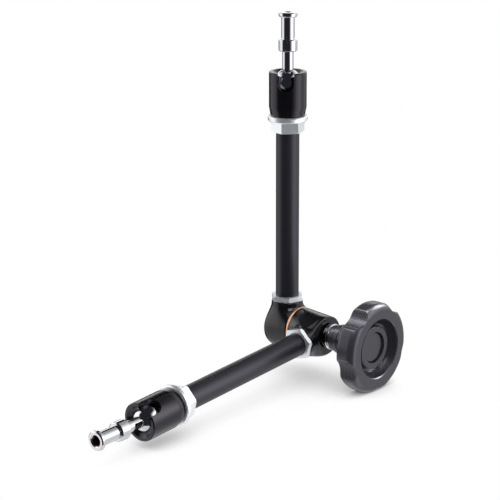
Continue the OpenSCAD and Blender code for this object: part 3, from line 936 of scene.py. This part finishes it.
def moulded_nylon(name):
    """Glass filled nylon: dark, half matt, with the fine grain of a spark eroded mould."""
    material, tree = fresh_material(name)
    skin = relief(tree, grain(tree, NYLON_GRAIN, 3.0), NYLON_GRAIN_DEPTH, NYLON_GRAIN_STRENGTH)
    coat(
        tree,
        {"Normal": skin},
        Base_Color=linear(NYLON_GREY),
        Roughness=NYLON_ROUGHNESS,
        IOR=NYLON_IOR,
        Specular_Tint=linear(NYLON_SHEEN),
    )
    return material


nylon = moulded_nylon("glass_filled_nylon")
knob = finished("knob", nylon, "knob_plastic", KNOB_EDGE)
finished("knob_cap", nylon, "knob_plastic", CAP_EDGE)

# The real lobes come forward as far as the lip of the dish, so the face is nearly flat, and the
# boss round the cap is a little wider. The plain solid's lobes stop short of the lip.
FACE_STEP = 2.2 * MM
LOBE_SHOULDER = 8.3 * MM
LIP_R = 26.4 * MM
BOSS_INNER_R = 16.5 * MM
BOSS_OUTER_R = 18.3 * MM
BOSS_WIDER = 1.05
knob_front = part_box("knob")[1].x
for vertex in knob.data.vertices:
    out = Vector((0.0, vertex.co.y - elbow.y, vertex.co.z - elbow.z))
    near_front = vertex.co.x > knob_front - LOBE_SHOULDER
    if near_front and out.length > LIP_R:
        vertex.co.x = min(vertex.co.x + FACE_STEP, knob_front)
    elif near_front and BOSS_INNER_R < out.length < BOSS_OUTER_R:
        vertex.co += out * (BOSS_WIDER - 1)

# The lines that the cutter left run round each scallop, side by side across the rim. They are drawn
# 1.6 mm apart, about as coarse as the real ones look.
SCALLOP_R = 16.0 * MM
SCALLOP_CENTRE = 49.8 * MM
SCALLOP_SWEEP = math.radians(64)
SCALLOP_TURN = math.radians(343)
LINE_PITCH = 1.6 * MM
LINE_HEIGHT = 0.3 * MM
FIRST_LINE = 70.2 * MM
LINES = 9
LOBES = 5
ARC_POINTS = 24
LINE_SIDES = 6

milled = bpy.data.node_groups.new("milled_lines", "GeometryNodeTree")
sizes, way_out = size_inputs(
    milled,
    (
        ("Scallop radius", "NodeSocketFloat"),
        ("Scallop centre", "NodeSocketFloat"),
        ("Sweep", "NodeSocketFloat"),
        ("Pitch", "NodeSocketFloat"),
        ("Line height", "NodeSocketFloat"),
        ("Lines", "NodeSocketInt"),
        ("Lobes", "NodeSocketInt"),
    ),
)
half_sweep = add(milled, "ShaderNodeMath", {0: sizes["Sweep"], 1: 0.5}, operation="MULTIPLY")
start = add(
    milled, "ShaderNodeMath", {0: math.pi, 1: half_sweep.outputs[0]}, operation="SUBTRACT"
)
arc = add(
    milled,
    "GeometryNodeCurveArc",
    {"Radius": sizes["Scallop radius"], "Start Angle": start.outputs[0], "Sweep Angle": sizes["Sweep"]},
    Resolution=ARC_POINTS,
)
round_line = add(
    milled,
    "GeometryNodeCurvePrimitiveCircle",
    {"Radius": sizes["Line height"]},
    Resolution=LINE_SIDES,
)
line = add(
    milled,
    "GeometryNodeCurveToMesh",
    {"Curve": arc.outputs[0], "Profile Curve": round_line.outputs[0]},
    Fill_Caps=True,
)
out_to = add(milled, "ShaderNodeCombineXYZ", {"X": sizes["Scallop centre"]})
placed = add(
    milled,
    "GeometryNodeTransform",
    {"Geometry": line.outputs[0], "Translation": out_to.outputs[0]},
)
across = add(milled, "ShaderNodeCombineXYZ", {"Z": sizes["Pitch"]})
stations = add(
    milled, "GeometryNodeMeshLine", {"Count": sizes["Lines"], "Offset": across.outputs[0]}
)
row = add(
    milled,
    "GeometryNodeInstanceOnPoints",
    {"Points": stations.outputs[0], "Instance": placed.outputs[0]},
)
lobe_points = add(milled, "GeometryNodePoints", {"Count": sizes["Lobes"]})
share = add(milled, "ShaderNodeMath", {0: math.tau, 1: sizes["Lobes"]}, operation="DIVIDE")
index = add(milled, "GeometryNodeInputIndex")
turn_of = add(
    milled, "ShaderNodeMath", {0: index.outputs[0], 1: share.outputs[0]}, operation="MULTIPLY"
)
turned_by = add(milled, "ShaderNodeCombineXYZ", {"Z": turn_of.outputs[0]})
all_rows = add(
    milled,
    "GeometryNodeInstanceOnPoints",
    {"Points": lobe_points.outputs[0], "Instance": row.outputs[0], "Rotation": turned_by.outputs[0]},
)
whole = add(milled, "GeometryNodeRealizeInstances", {"Geometry": all_rows.outputs[0]})
coated = add(milled, "GeometryNodeSetMaterial", {"Geometry": whole.outputs[0]}, Material=nylon)
milled.links.new(coated.outputs[0], way_out)

out_way = Vector((0.0, math.cos(SCALLOP_TURN), math.sin(SCALLOP_TURN)))
knob_place = Matrix((out_way, elbow_axis.cross(out_way), elbow_axis)).transposed().to_4x4()
knob_lines = made_by(
    "knob_lines",
    milled,
    {
        "Scallop radius": SCALLOP_R,
        "Scallop centre": SCALLOP_CENTRE,
        "Sweep": SCALLOP_SWEEP,
        "Pitch": LINE_PITCH,
        "Line height": LINE_HEIGHT,
        "Lines": LINES,
        "Lobes": LOBES,
    },
    nylon,
    Matrix.Translation(elbow + elbow_axis * FIRST_LINE) @ knob_place,
    frame["nodes"]["knob"]["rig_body"],
)
knob_pieces.objects.link(knob_lines)
